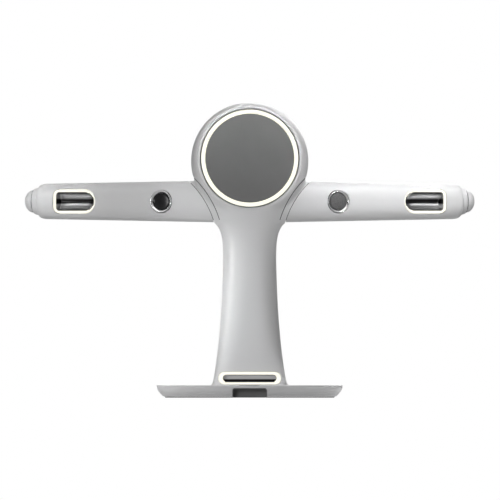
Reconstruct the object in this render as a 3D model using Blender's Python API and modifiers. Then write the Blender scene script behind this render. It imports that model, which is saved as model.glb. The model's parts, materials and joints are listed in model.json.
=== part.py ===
"""Counter-top phone charging kiosk: a round lit charging head on a waisted column, two tapered arms that
sweep back, a lit phone slot in the foot and a flat splayed base.

Run with blender --background --python part.py. Metres, +Z up. The front of the kiosk faces -Y. The origin
is on the counter, under the middle of the base. "Right" is +X, the right hand of someone facing the front.
"""

import math

import bmesh
import bpy
from mathutils import Matrix, Vector

MM = 0.001
GAP = 0.3 * MM  # what separates two pieces that touch
WALL = 2.6 * MM  # casing walls

# Overall layout
COLUMN_Y = -8 * MM  # the column, head and arm roots stand a little in front of the base's middle
ARM_Z = 288 * MM
HEAD_Z = 347 * MM
LENS_Z = 351.6 * MM  # the lit ring sits a little above the middle of the head

# Base
BASE_HALF = (136.5 * MM, 102 * MM)
BASE_TOP = 18 * MM
BASE_SPLAY = 12 * MM  # how much wider the top is than the underside, on each side
BASE_CORNER = 42 * MM
PAD_TOP = 1.6 * MM
WEIGHT_TOP = 9.9 * MM
NOTCH_HALF = 24 * MM
NOTCH_TOP = 12.5 * MM
NOTCH_BACK = -80 * MM

# Column: height, half width, front depth, back depth, squareness of the section
COLUMN_STATIONS = [
    (18.3 * MM, 57.5 * MM, 46.5 * MM, 46.5 * MM, 6.5),
    (22 * MM, 54.5 * MM, 45 * MM, 45 * MM, 6.5),
    (38 * MM, 51.2 * MM, 43.5 * MM, 43.5 * MM, 5.6),
    (75 * MM, 46.2 * MM, 40 * MM, 40 * MM, 4.0),
    (130 * MM, 41.6 * MM, 36.5 * MM, 36.5 * MM, 3.0),
    (195 * MM, 39 * MM, 34 * MM, 34 * MM, 2.5),
    (224 * MM, 39.4 * MM, 34 * MM, 33.5 * MM, 2.4),
    (238 * MM, 41.4 * MM, 35 * MM, 33.5 * MM, 2.4),
    (249 * MM, 45.6 * MM, 36.6 * MM, 33.5 * MM, 2.4),
    (258 * MM, 51.6 * MM, 38.4 * MM, 33.5 * MM, 2.4),
    (275 * MM, 51.6 * MM, 41 * MM, 33.5 * MM, 2.4),
    (340 * MM, 51.6 * MM, 41 * MM, 33.5 * MM, 2.4),
]
COLUMN_SPLIT = 2 * MM  # the casing's parting plane, behind the column's middle

# Head
HEAD_RADIUS = 86 * MM
HEAD_FRONT = 44 * MM
HEAD_BELLY = 6 * MM  # the widest section is this far in front of the column's middle
HEAD_BACK = 38 * MM
HEAD_FACE = 74 * MM  # radius of the flat front
RING_OUTER = 72.8 * MM
RING_INNER = 65.2 * MM

# Arms. In an arm's own frame X runs outward along the arm, Y to the back and Z up.
ARM_SWEEP = math.radians(18)
ARM_ROOT_X = 40 * MM
ARM_HEIGHT = 30.8 * MM  # half height at the root
ARM_TAPER = 0.0179
ARM_SQUARENESS = 2.5
ARM_SHOULDER = 269 * MM  # where the end starts to round off
ARM_END = 281.2 * MM
ARM_END_RADIUS = 21 * MM
ARM_SPLIT = 6 * MM
SEAM_CENTRE = (184.1 * MM, 217.9 * MM)  # X and Z of the arc that cuts each arm off its root
SEAM_RADIUS = 138 * MM
SEAM_GAP = 0.8 * MM
SPAR_Y = 12 * MM
SPAR_RADIUS = 8 * MM

# Charging pocket in each arm, in the arm's frame
POCKET_X = (188.2 * MM, 253.8 * MM)
POCKET_HALF = 17.8 * MM
POCKET_CORNER = 9 * MM  # at the outer end; the inner end is a half circle
POCKET_LIP = 5 * MM
POCKET_MOUTH = -19.3 * MM

# Push button in each arm, in the arm's frame
BUTTON_X = 86 * MM
BEZEL_RADIUS = 17 * MM
CAP_RADIUS = 12 * MM
CAP_FACE = -27.6 * MM

# End knob
COLLAR_X = (281.6 * MM, 289.3 * MM)
KNOB_X = 290.5 * MM
KNOB_RADIUS = 16.4 * MM
KNOB_HEIGHT = 13.3 * MM

# Phone slot in the foot
SLOT_Z = 28.6 * MM
SLOT_FRAME = (46 * MM, 9.2 * MM)
SLOT_LIP = 4.3 * MM
SLOT_MOUTH = -40.2 * MM
THROAT_END = -33.6 * MM
FLAP_PIN = (-29.5 * MM, 37.2 * MM)
FLAP_BOTTOM = 23.6 * MM

SPINE = (15 * MM, 8 * MM, 26 * MM)  # half width, front and back, from the column's middle
BOSSES = [(25 * MM, 62 * MM), (23.5 * MM, 205 * MM)]
ARM_BOSS = (150 * MM, 15.5 * MM)
INLET_Z = 34 * MM


# ---------------------------------------------------------------- modelling helpers


def clear_scene():
    for old in list(bpy.data.objects):
        bpy.data.objects.remove(old)


def material(name, colour, roughness, metallic=0.0):
    made = bpy.data.materials.get(name) or bpy.data.materials.new(name)
    made.use_nodes = True
    shader = made.node_tree.nodes["Principled BSDF"]
    shader.inputs["Base Color"].default_value = (*colour, 1.0)
    shader.inputs["Roughness"].default_value = roughness
    shader.inputs["Metallic"].default_value = metallic
    return made


def to_object(name, shape):
    """An object from a bmesh, with its faces pointing out."""
    bmesh.ops.recalc_face_normals(shape, faces=shape.faces)
    mesh = bpy.data.meshes.new(name)
    shape.to_mesh(mesh)
    shape.free()
    made = bpy.data.objects.new(name, mesh)
    bpy.context.scene.collection.objects.link(made)
    return made


def bake(obj):
    """Replaces the object's mesh by its evaluated one, and drops the modifiers."""
    graph = bpy.context.evaluated_depsgraph_get()
    mesh = bpy.data.meshes.new_from_object(obj.evaluated_get(graph))
    obj.modifiers.clear()
    obj.data = mesh
    return obj


def boolean(obj, cutter, operation="DIFFERENCE"):
    """Cuts or joins with the cutter, then merges the slivers left where the two surfaces nearly meet."""
    step = obj.modifiers.new(operation.lower(), "BOOLEAN")
    step.operation = operation
    step.solver = "EXACT"
    step.object = cutter
    bpy.context.view_layer.update()
    bake(obj)
    shape = bmesh.new()
    shape.from_mesh(obj.data)
    bmesh.ops.remove_doubles(shape, verts=shape.verts, dist=0.00002)
    shape.to_mesh(obj.data)
    shape.free()
    bpy.data.objects.remove(cutter)
    return obj


def gathered(name, pieces):
    """One object out of several that don't touch each other."""
    shape = bmesh.new()
    for piece in pieces:
        piece.data.transform(piece.matrix_world)
        shape.from_mesh(piece.data)
        bpy.data.objects.remove(piece)
    return to_object(name, shape)


def copy_of(obj):
    made = obj.copy()
    made.data = obj.data.copy()
    bpy.context.scene.collection.objects.link(made)
    return made


def box(name, low, high, bevel=0.0):
    shape = bmesh.new()
    size = [h - l for l, h in zip(low, high)]
    middle = [(h + l) / 2 for l, h in zip(low, high)]
    placing = Matrix.Translation(middle) @ Matrix.Diagonal((*size, 1.0))
    bmesh.ops.create_cube(shape, size=1.0, matrix=placing)
    if bevel:
        bmesh.ops.bevel(shape, geom=shape.edges[:], offset=bevel, segments=2, affect="EDGES", profile=0.5)
    return to_object(name, shape)


def rod(name, start, end, radius, sides=24):
    """A round bar between two points."""
    start, end = Vector(start), Vector(end)
    along = end - start
    turn = along.to_track_quat("Z", "Y").to_matrix().to_4x4()
    placing = Matrix.Translation((start + end) / 2) @ turn
    shape = bmesh.new()
    bmesh.ops.create_cone(
        shape, cap_ends=True, segments=sides, radius1=radius, radius2=radius, depth=along.length, matrix=placing
    )
    return to_object(name, shape)


TURN_TO = {
    "X": Matrix.Rotation(math.pi / 2, 4, "Y"),
    "Y": Matrix.Rotation(-math.pi / 2, 4, "X"),
    "Z": Matrix.Identity(4),
}


def turned(name, profile, axis, centre=(0, 0, 0), sides=32):
    """A profile of (radius, distance along the axis) points, swept round the axis by a Screw modifier.

    A profile that ends on the axis at both ends is a solid; any other is closed into a ring.
    """
    shape = bmesh.new()
    points = [shape.verts.new((radius, 0, along)) for radius, along in profile]
    for first, second in zip(points, points[1:]):
        shape.edges.new((first, second))
    if profile[0][0] > 0 or profile[-1][0] > 0:
        shape.edges.new((points[-1], points[0]))
    mesh = bpy.data.meshes.new(name)
    shape.to_mesh(mesh)
    shape.free()
    made = bpy.data.objects.new(name, mesh)
    bpy.context.scene.collection.objects.link(made)
    screw = made.modifiers.new("turn", "SCREW")
    screw.steps = screw.render_steps = sides
    screw.use_merge_vertices = True
    screw.merge_threshold = 0.00005
    bpy.context.view_layer.update()
    bake(made)
    shape = bmesh.new()
    shape.from_mesh(made.data)
    bmesh.ops.recalc_face_normals(shape, faces=shape.faces)
    shape.to_mesh(made.data)
    shape.free()
    made.data.transform(Matrix.Translation(centre) @ TURN_TO[axis])
    return made


def loft(name, loops, closed=False):
    """A skin over loops of points, all with the same count: capped at both ends, or closed into a ring."""
    shape = bmesh.new()
    rows = [[shape.verts.new(point) for point in loop] for loop in loops]
    pairs = list(zip(rows, rows[1:]))
    if closed:
        pairs.append((rows[-1], rows[0]))
    for lower, upper in pairs:
        for i in range(len(lower)):
            j = (i + 1) % len(lower)
            shape.faces.new((lower[i], lower[j], upper[j], upper[i]))
    if not closed:
        shape.faces.new(rows[0])
        shape.faces.new(rows[-1])
    return to_object(name, shape)


def rounded_outline(low, high, radii, steps=6):
    """A rectangle with a radius at each corner, as points (u, v), anticlockwise from the low corner."""
    (u0, v0), (u1, v1) = low, high
    corners = [
        (u0 + radii[0], v0 + radii[0], radii[0], math.pi),
        (u1 - radii[1], v0 + radii[1], radii[1], 1.5 * math.pi),
        (u1 - radii[2], v1 - radii[2], radii[2], 0.0),
        (u0 + radii[3], v1 - radii[3], radii[3], 0.5 * math.pi),
    ]
    points = []
    for u, v, radius, start in corners:
        for step in range(steps + 1):
            angle = start + step / steps * math.pi / 2
            points.append((u + radius * math.cos(angle), v + radius * math.sin(angle)))
    return points


def between(stations, at):
    """The values of a table at a height, on a smooth curve through its rows."""
    rows = [stations[0], *stations, stations[-1]]
    for k in range(1, len(rows) - 2):
        if at <= rows[k + 1][0] or k == len(rows) - 3:
            break
    before, low, high, after = rows[k - 1 : k + 3]
    span = high[0] - low[0]
    share = min(1.0, max(0.0, (at - low[0]) / span))
    found = []
    for column in range(1, len(low)):
        rise_in = (high[column] - before[column]) / max(high[0] - before[0], 1e-9) * span
        rise_out = (after[column] - low[column]) / max(after[0] - low[0], 1e-9) * span
        s2, s3 = share**2, share**3
        found.append(
            (2 * s3 - 3 * s2 + 1) * low[column]
            + (s3 - 2 * s2 + share) * rise_in
            + (3 * s2 - 2 * s3) * high[column]
            + (s3 - s2) * rise_out
        )
    return found


def superellipse(half, front, back, power, count):
    """Points (across, depth) round a squarish oval; the depth is negative at the front."""
    points = []
    for step in range(count):
        angle = 2 * math.pi * step / count
        across, depth = math.cos(angle), math.sin(angle)
        reach = front if depth < 0 else back
        radius = ((abs(across) / half) ** power + (abs(depth) / reach) ** power) ** (-1 / power)
        points.append((radius * across, radius * depth))
    return points


def placed(obj, finish):
    """Gives a finished piece its material and puts it in the kiosk's collection."""
    obj.data.materials.clear()
    obj.data.materials.append(finish)
    for home in list(obj.users_collection):
        home.objects.unlink(obj)
    bpy.data.collections["phone_charging_kiosk"].objects.link(obj)
    return obj


def set_origin(obj, point):
    """Moves the object's origin to a point of its own mesh frame, leaving the shape where it is."""
    obj.data.transform(Matrix.Translation(-Vector(point)))
    obj.matrix_world = obj.matrix_world @ Matrix.Translation(point)
    return obj


# ---------------------------------------------------------------- outer forms


def column_form(inset, bottom, top, count=32, rows=17):
    loops = []
    for row in range(rows):
        z = bottom + (top - bottom) * row / (rows - 1)
        half, front, back, power = between(COLUMN_STATIONS, z)
        ring = superellipse(half - inset, front - inset, back - inset, power, count)
        loops.append([Vector((x, COLUMN_Y + y, z)) for x, y in ring])
    return loft("column_form", loops)


def head_form(inset, sides=48, steps=6):
    """The head: a flat round face, an elliptical shoulder round it, and a domed back."""
    sections = []
    shoulder = HEAD_RADIUS - HEAD_FACE
    depth = HEAD_FRONT - HEAD_BELLY
    for step in range(steps + 1):
        angle = step / steps * math.pi / 2
        out = math.sin(angle)
        radius = HEAD_FACE + shoulder * out - inset
        y = -HEAD_BELLY - (depth - inset) * math.cos(angle)
        sections.append((y, radius, LENS_Z + (HEAD_Z - LENS_Z) * out))
    for step in range(1, steps):
        angle = step / steps * math.pi / 2
        y = -HEAD_BELLY + (HEAD_BACK + HEAD_BELLY - inset) * math.sin(angle)
        sections.append((y, (HEAD_RADIUS - inset) * math.cos(angle), HEAD_Z))
    loops = []
    for y, radius, middle in sections:
        loop = []
        for side in range(sides):
            angle = 2 * math.pi * (side + 0.5) / sides
            loop.append(
                Vector((radius * math.cos(angle), COLUMN_Y + y, middle + radius * math.sin(angle)))
            )
        loops.append(loop)
    return loft("head_form", loops)


def arm_half(x):
    return ARM_HEIGHT - ARM_TAPER * x


def arm_surface(x, z, inset=0.0):
    """Depth of the arm's front skin at a point of the arm's frame."""
    height = arm_half(x) - inset
    depth = height - 1 * MM
    share = min(1.0, abs(z) / height)
    return -depth * (1 - share**ARM_SQUARENESS) ** (1 / ARM_SQUARENESS)


def arm_form(inset, inner, outer=None, count=32):
    """The arm's tapered tube in its own frame, with a rounded outer end unless it is cut off before."""
    stations = []
    last = outer or ARM_SHOULDER
    for x in (inner, last):
        stations.append((x, arm_half(x), ARM_SQUARENESS))
    if not outer:
        for step in range(1, 5):
            angle = step / 4 * math.pi / 2
            share = 1 - math.cos(angle)
            x = ARM_SHOULDER + (ARM_END - ARM_SHOULDER - inset) * math.sin(angle)
            half = arm_half(ARM_SHOULDER) + (ARM_END_RADIUS - arm_half(ARM_SHOULDER)) * share
            stations.append((x, half, ARM_SQUARENESS + (2 - ARM_SQUARENESS) * share))
    loops = []
    for x, half, power in stations:
        flat = 1 * MM * (power - 2) / (ARM_SQUARENESS - 2)
        ring = superellipse(half - inset, half - flat - inset, half - flat - inset, power, count)
        loops.append([Vector((x, y, z)) for z, y in ring])
    return loft("arm_form", loops)


def arm_frame(side=1):
    turn = Matrix.Rotation(side * ARM_SWEEP, 4, "Z")
    return Matrix.Translation((side * ARM_ROOT_X, COLUMN_Y, ARM_Z)) @ turn


def seam_cylinder(side, radius):
    x, z = side * SEAM_CENTRE[0], SEAM_CENTRE[1]
    return rod("seam", (x, -120 * MM, z), (x, 160 * MM, z), radius, sides=112)


def body_form(inset):
    """Head, column and the two arm roots in one form, as the casing's outside or, inset, its inside."""
    if inset:
        form = column_form(inset, 8 * MM, 340 * MM, count=24, rows=10)
        boolean(form, head_form(inset, sides=36, steps=4), "UNION")
    else:
        form = column_form(inset, COLUMN_STATIONS[0][0], 340 * MM)
        boolean(form, head_form(inset), "UNION")
    for side in (1, -1):
        root = arm_form(inset, -30 * MM, outer=96 * MM if inset else 90 * MM, count=24 if inset else 32)
        if side < 0:
            mirror_mesh(root)
        root.matrix_world = arm_frame(side)
        boolean(form, root, "UNION")
    return form


def mirror_mesh(obj):
    obj.data.transform(Matrix.Diagonal((-1, 1, 1, 1)))
    obj.data.flip_normals()


def pocket_outline(inset):
    corner = POCKET_CORNER - inset
    round_end = POCKET_HALF - inset
    return rounded_outline(
        (POCKET_X[0] + inset, -POCKET_HALF + inset),
        (POCKET_X[1] - inset, POCKET_HALF - inset),
        (round_end, corner, corner, round_end),
        steps=6,
    )


def slot_outline(inset):
    half, height = SLOT_FRAME[0] - inset, SLOT_FRAME[1] - inset
    return rounded_outline((-half, -height), (half, height), (height,) * 4, steps=5)


def base_outline(inset):
    half_x, half_y = BASE_HALF[0] - inset, BASE_HALF[1] - inset
    return rounded_outline((-half_x, -half_y), (half_x, half_y), (BASE_CORNER - inset,) * 4, steps=6)


def base_form(name, inset, bottom, top, rows=5, edge=0.0):
    """The base's splayed body between two heights; edge rounds off its top rim."""
    heights = [bottom + (top - bottom) * row / rows for row in range(rows)]
    sections = [(z, inset + BASE_SPLAY * (1 - z / BASE_TOP) ** 2) for z in heights]
    sections.append((top - edge, inset))
    if edge:
        sections.append((top, inset + edge))
    return loft(name, [[Vector((x, y, z)) for x, y in base_outline(i)] for z, i in sections])


# ---------------------------------------------------------------- base


def notch_cutter(spare, back):
    outline = rounded_outline(
        (-NOTCH_HALF - spare, -10 * MM),
        (NOTCH_HALF + spare, NOTCH_TOP + spare),
        (1 * MM, 1 * MM, 3 * MM, 3 * MM),
        steps=3,
    )
    ends = (-120 * MM, back)
    return loft("notch", [[Vector((x, y, z)) for x, z in outline] for y in ends])


def make_base():
    notch_room = 1.5 * MM
    cover = base_form("base_cover", 0, PAD_TOP + GAP, BASE_TOP, edge=0.7 * MM)
    boolean(cover, base_form("hollow", WALL, -5 * MM, BASE_TOP - WALL))
    boolean(cover, notch_cutter(notch_room, NOTCH_BACK))
    spine_hole = box(
        "spine_hole",
        (-SPINE[0] - 1 * MM, COLUMN_Y + SPINE[1] - 1 * MM, 10 * MM),
        (SPINE[0] + 1 * MM, COLUMN_Y + SPINE[2] + 1 * MM, 30 * MM),
    )
    boolean(cover, spine_hole)
    placed(cover, WHITE)

    weight = loft(
        "base_weight",
        [[Vector((x, y, z)) for x, y in base_outline(13.2 * MM)] for z in (PAD_TOP + GAP, WEIGHT_TOP)],
    )
    boolean(weight, notch_cutter(notch_room + GAP, NOTCH_BACK + 2 * MM))
    for x in (-8 * MM, 8 * MM):
        middle = COLUMN_Y + (SPINE[1] + SPINE[2]) / 2
        boolean(weight, rod("hole", (x, middle, -1 * MM), (x, middle, 20 * MM), 2.4 * MM, 16))
        boolean(weight, rod("counterbore", (x, middle, -1 * MM), (x, middle, 5 * MM), 4.6 * MM, 16))
    placed(weight, STEEL)

    pad = loft(
        "underside_pad",
        [[Vector((x, y, z)) for x, y in base_outline(i)] for z, i in ((0, 13 * MM), (PAD_TOP, 11 * MM))],
    )
    boolean(pad, notch_cutter(notch_room + GAP, NOTCH_BACK + 2 * MM))
    placed(pad, RUBBER)

    liner = notch_cutter(notch_room - GAP, NOTCH_BACK + 1.5 * MM)
    liner.name = "notch_liner"
    boolean(liner, notch_cutter(0, NOTCH_BACK))
    boolean(liner, base_form("fit", WALL + GAP, 0.4 * MM, BASE_TOP - WALL - GAP), "INTERSECT")
    placed(liner, DARK_PLASTIC)


# ---------------------------------------------------------------- casing


def halves(shell, split, back_name, axis_y):
    """Cuts a shell at a plane across its depth into a front piece and a back piece."""
    far = 0.5
    back = copy_of(shell)
    back.name = back_name
    front_room = box("front_room", (-far, -far, -far), (far, split + axis_y, far))
    front_room.matrix_world = shell.matrix_world
    back_room = box("back_room", (-far, split + axis_y + GAP, -far), (far, far, far))
    back_room.matrix_world = shell.matrix_world
    boolean(shell, front_room, "INTERSECT")
    boolean(back, back_room, "INTERSECT")
    return shell, back


def make_casing():
    shell = body_form(0)
    boolean(shell, body_form(WALL))
    for side in (1, -1):
        boolean(shell, seam_cylinder(side, SEAM_RADIUS))
    shell.name = "column_front_shell"
    front, back = halves(shell, COLUMN_SPLIT, "column_rear_cover", COLUMN_Y)

    lens_hole = rod(
        "lens_hole", (0, -90 * MM, LENS_Z), (0, COLUMN_Y - 30 * MM, LENS_Z), RING_OUTER + GAP, sides=48
    )
    boolean(front, lens_hole)
    slot_hole = [
        [Vector((x, y, SLOT_Z + z)) for x, z in slot_outline(-GAP)] for y in (-80 * MM, COLUMN_Y - 32 * MM)
    ]
    boolean(front, loft("slot_hole", slot_hole))
    top = COLUMN_Y + 18 * MM
    roots = [(x, COLUMN_Y + column_skin(x, z, -1) + 1.4 * MM, z) for x, z in boss_places()]
    bosses = [rod("boss", at, (at[0], top, at[2]), 4 * MM, 12) for at in roots]
    boolean(front, gathered("bosses", bosses), "UNION")
    pilots = [rod("pilot", (x, top - 12 * MM, z), (x, top + 5 * MM, z), 1.8 * MM, 10) for x, z in boss_places()]
    boolean(front, gathered("pilots", pilots))
    placed(front, WHITE)

    skins = [(x, COLUMN_Y + column_skin(x, z, 1), z) for x, z in boss_places()]
    far = 60 * MM
    holes = [rod("hole", (x, COLUMN_Y, z), (x, far, z), 1.9 * MM, 12) for x, _, z in skins]
    boolean(back, gathered("holes", holes))
    sinks = [rod("sink", (x, skin - 1.3 * MM, z), (x, far, z), 3.4 * MM, 12) for x, skin, z in skins]
    boolean(back, gathered("sinks", sinks))
    openings = [rod("inlet_hole", (0, COLUMN_Y + 30 * MM, INLET_Z), (0, far, INLET_Z), 6.3 * MM, 24)]
    for row in range(6):
        z = (102 + 6.7 * row) * MM
        openings.append(box("vent", (-17 * MM, COLUMN_Y + 25 * MM, z - 1.4 * MM), (17 * MM, far, z + 1.4 * MM)))
    boolean(back, gathered("rear_openings", openings))
    placed(back, WHITE)


def boss_places():
    return [(x, z) for half, z in BOSSES for x in (-half, half)]


def column_skin(x, z, side):
    """Depth of the column's rear face (side 1) or front face (side -1), from the column's middle."""
    half, front, back, power = between(COLUMN_STATIONS, z)
    depth = (1 - (abs(x) / half) ** power) ** (1 / power)
    return back * depth if side > 0 else -front * depth


def make_screw(name, tip, head, radius=1.4 * MM, head_radius=3 * MM):
    """A pan-head screw from its tip to the underside of its head, with a hexagon socket."""
    tip, head = Vector(tip), Vector(head)
    along = (head - tip).normalized()
    top = head + along * 1.8 * MM
    screw = rod(name, tip, head + along * 0.5 * MM, radius, 12)
    boolean(screw, rod("head", head, top, head_radius, 18), "UNION")
    boolean(screw, rod("socket", head + along * 0.9 * MM, top + along * 2 * MM, 1.1 * MM, 6))
    return placed(screw, STEEL)


def make_casing_screws():
    for number, (x, z) in enumerate(boss_places(), 1):
        seat = COLUMN_Y + column_skin(x, z, 1) - 1 * MM
        make_screw(f"rear_cover_screw_{number}", (x, COLUMN_Y + 8 * MM, z), (x, seat, z))


# ---------------------------------------------------------------- spine and electronics


def make_spine():
    half, front, back = SPINE
    low = (-half, COLUMN_Y + front, WEIGHT_TOP + GAP)
    high = (half, COLUMN_Y + back, ARM_Z - 14.3 * MM)
    wall = 2.5 * MM
    post = box("spine_post", low, high)
    hollow_low = (low[0] + wall, low[1] + wall, low[2] + 6 * MM)
    hollow_high = (high[0] - wall, high[1] - wall, high[2] + 10 * MM)
    boolean(post, box("hollow", hollow_low, hollow_high))
    middle = COLUMN_Y + (front + back) / 2
    for number, x in enumerate((-8 * MM, 8 * MM), 1):
        boolean(post, rod("hole", (x, middle, 0), (x, middle, 30 * MM), 2.3 * MM, 16))
        tip, head = (x, middle, 20 * MM), (x, middle, 4.7 * MM)
        make_screw(f"spine_screw_{number}", tip, head, radius=2 * MM, head_radius=4.2 * MM)
    placed(post, ALUMINIUM)


def make_bracket():
    """A casting on top of the spine, with a socket for each arm's spar."""
    block_low = (-26 * MM, COLUMN_Y + 2 * MM, ARM_Z - 14 * MM)
    block_high = (26 * MM, COLUMN_Y + 26 * MM, ARM_Z + 14 * MM)
    bracket = box("cross_bracket", block_low, block_high)
    for side in (1, -1):
        frame = arm_frame(side)
        ends = [frame @ Vector((side * x * MM, SPAR_Y, 0)) for x in (-20, 30)]
        boolean(bracket, rod("socket", *ends, 12 * MM, 28), "UNION")
    for side in (1, -1):
        frame = arm_frame(side)
        ends = [frame @ Vector((side * x * MM, SPAR_Y, 0)) for x in (-8, 40)]
        boolean(bracket, rod("bore", *ends, SPAR_RADIUS + GAP, 28))
    low, high = (-12 * MM, COLUMN_Y + 8 * MM, ARM_Z - 20 * MM), (12 * MM, COLUMN_Y + 20 * MM, ARM_Z - 4 * MM)
    boolean(bracket, box("relief", low, high))
    placed(bracket, ALUMINIUM)


def make_board(name, low, high, parts):
    """A circuit board standing in the XZ plane with blocks of components on its front."""
    board = box(name, low, high)
    for x, z, width, height, depth in parts:
        chip_low = ((x - width / 2) * MM, low[1] - depth * MM, (z - height / 2) * MM)
        chip_high = ((x + width / 2) * MM, low[1] + 0.5 * MM, (z + height / 2) * MM)
        boolean(board, box("chip", chip_low, chip_high), "UNION")
    return placed(board, BOARD_GREEN)


def make_electronics():
    front = COLUMN_Y + 1 * MM
    make_board(
        "main_board",
        (-18 * MM, front, 118 * MM),
        (18 * MM, front + 1.6 * MM, 196 * MM),
        [(-4, 170, 14, 14, 1.6), (9, 146, 9, 12, 3), (-9, 134, 8, 8, 5), (0, 188, 22, 7, 6)],
    )
    make_board(
        "power_board",
        (-19 * MM, front, 56 * MM),
        (19 * MM, front + 1.6 * MM, 110 * MM),
        [(-8, 92, 16, 18, 14), (10, 88, 8, 10, 9), (10, 72, 8, 10, 9), (-7, 66, 14, 12, 8)],
    )
    inlet = turned(
        "dc_inlet",
        [(0, 30 * MM), (6 * MM, 30 * MM), (6 * MM, 44.4 * MM), (3 * MM, 44.4 * MM), (3 * MM, 33 * MM), (0, 33 * MM)],
        "Y",
        (0, COLUMN_Y, INLET_Z),
        24,
    )
    placed(inlet, DARK_PLASTIC)


# ---------------------------------------------------------------- head


def head_piece(name, profile, finish, sides=48):
    return placed(turned(name, profile, "Y", (0, COLUMN_Y, LENS_Z), sides), finish)


def ring_profile(inner, outer, front, back):
    return [(inner, front), (outer, front), (outer, back), (inner, back)]


def disc_profile(radius, front, back):
    return [(0, front), (radius, front), (radius, back), (0, back)]


def make_head():
    front = -HEAD_FRONT
    head_piece("head_glass", disc_profile(RING_INNER - GAP, front + 0.4 * MM, front + 2.9 * MM), GLASS)
    light = [
        (RING_INNER, front - 0.2 * MM),
        (RING_INNER + 1 * MM, front - 0.6 * MM),
        (RING_OUTER - 1 * MM, front - 0.6 * MM),
        (RING_OUTER, front - 0.2 * MM),
        (RING_OUTER, front + 6 * MM),
        (RING_INNER, front + 6 * MM),
    ]
    head_piece("light_ring", light, DIFFUSER)
    board = ring_profile(58 * MM, 71.5 * MM, front + 7.4 * MM, front + 9 * MM)
    head_piece("led_ring_board", board, BOARD_GREEN, 48)
    head_piece("head_coil", ring_profile(9 * MM, 24 * MM, front + 3.4 * MM, front + 5 * MM), COPPER, 32)
    head_piece("coil_shield", disc_profile(28 * MM, front + 5.4 * MM, front + 6.6 * MM), FERRITE, 32)
    head_piece("head_carrier", disc_profile(72 * MM, front + 9.4 * MM, front + 12.4 * MM), ALUMINIUM, 48)


# ---------------------------------------------------------------- phone slot


def make_slot():
    def loop(inset, depth):
        return [Vector((x, COLUMN_Y + depth, SLOT_Z + z)) for x, z in slot_outline(inset)]

    def skin(inset):
        points = []
        for x, z in slot_outline(inset):
            depth = column_skin(x, SLOT_Z + z, -1)
            points.append(Vector((x, COLUMN_Y + depth, SLOT_Z + z)))
        return points

    back = SLOT_MOUTH + 2 * MM
    frame_loops = [skin(0), loop(0, back), loop(SLOT_LIP, back), loop(SLOT_LIP, SLOT_MOUTH)]
    placed(loft("slot_frame", frame_loops, closed=True), DIFFUSER)

    start = back + GAP
    throat = [
        loop(SLOT_LIP - 1.2 * MM, start),
        loop(SLOT_LIP - 1.2 * MM, THROAT_END),
        loop(SLOT_LIP, THROAT_END),
        loop(SLOT_LIP, start),
    ]
    placed(loft("slot_throat", throat, closed=True), CHROME)

    pin_y, pin_z = COLUMN_Y + FLAP_PIN[0], FLAP_PIN[1]
    half = 40.6 * MM
    flap = box("slot_flap", (-half, pin_y - 0.6 * MM, FLAP_BOTTOM), (half, pin_y + 0.6 * MM, pin_z))
    boolean(flap, rod("barrel", (-half + 5 * MM, pin_y, pin_z), (half, pin_y, pin_z), 2 * MM, 20), "UNION")
    boolean(flap, rod("pin_hole", (-half - 9 * MM, pin_y, pin_z), (half + 9 * MM, pin_y, pin_z), 1.5 * MM, 16))
    spring_room = (-half - 1 * MM, pin_y - 4 * MM, pin_z - 3 * MM)
    boolean(flap, box("spring_room", spring_room, (-half + 7 * MM, pin_y + 4 * MM, pin_z + 4 * MM)))
    placed(set_origin(flap, (0, pin_y, pin_z)), CHROME)
    placed(rod("flap_pin", (-43.4 * MM, pin_y, pin_z), (43.4 * MM, pin_y, pin_z), 1.15 * MM, 16), STEEL)
    make_flap_spring(-half + 0.6 * MM, pin_y, pin_z)

    make_cradle(pin_y, pin_z)


def make_flap_spring(start_x, pin_y, pin_z):
    """A torsion spring wound round the pin, with one leg standing up."""
    turns, per_turn, pitch, radius = 5, 10, 1.0 * MM, 1.95 * MM
    points = []
    for step in range(turns * per_turn + 1):
        angle = 2 * math.pi * step / per_turn
        x = start_x + pitch * step / per_turn
        points.append((x, pin_y + radius * math.cos(angle), pin_z + radius * math.sin(angle)))
    points.append((points[-1][0], pin_y + radius, pin_z + 4 * MM))
    points.append((points[-1][0], pin_y + radius, pin_z + 8 * MM))
    curve = bpy.data.curves.new("flap_spring", "CURVE")
    curve.dimensions = "3D"
    curve.bevel_depth = 0.3 * MM
    curve.bevel_resolution = 1
    curve.use_fill_caps = True
    spline = curve.splines.new("POLY")
    spline.points.add(len(points) - 1)
    for point, place in zip(spline.points, points):
        point.co = (*place, 1)
    swept = bpy.data.objects.new("flap_spring", curve)
    bpy.context.scene.collection.objects.link(swept)
    bpy.context.view_layer.update()
    graph = bpy.context.evaluated_depsgraph_get()
    shape = bmesh.new()
    shape.from_mesh(bpy.data.meshes.new_from_object(swept.evaluated_get(graph)))
    bmesh.ops.remove_doubles(shape, verts=shape.verts, dist=0.00001)
    bpy.data.objects.remove(swept)
    placed(to_object("flap_spring", shape), STEEL)


def make_cradle(pin_y, pin_z):
    """The tray that a phone slides into, open on top and at the front, with ears that carry the pin."""
    half, back = 43.2 * MM, COLUMN_Y + 5.5 * MM
    front = pin_y - 2.6 * MM
    floor, top = 20.3 * MM, pin_z + 2.6 * MM
    cradle = box("phone_cradle", (-half, front, floor), (half, back, top))
    inside_low = (-half + 2 * MM, front - 5 * MM, floor + 1.8 * MM)
    boolean(cradle, box("inside", inside_low, (half - 2 * MM, back - 2 * MM, top + 9 * MM)))
    boolean(cradle, rod("pin_holes", (-60 * MM, pin_y, pin_z), (60 * MM, pin_y, pin_z), 1.45 * MM, 16))
    placed(cradle, DARK_PLASTIC)
    coil = turned(
        "cradle_coil",
        ring_profile(7 * MM, 17 * MM, 18.4 * MM, 19.9 * MM),
        "Z",
        (0, COLUMN_Y - 13 * MM, 0),
        32,
    )
    placed(coil, COPPER)


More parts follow.
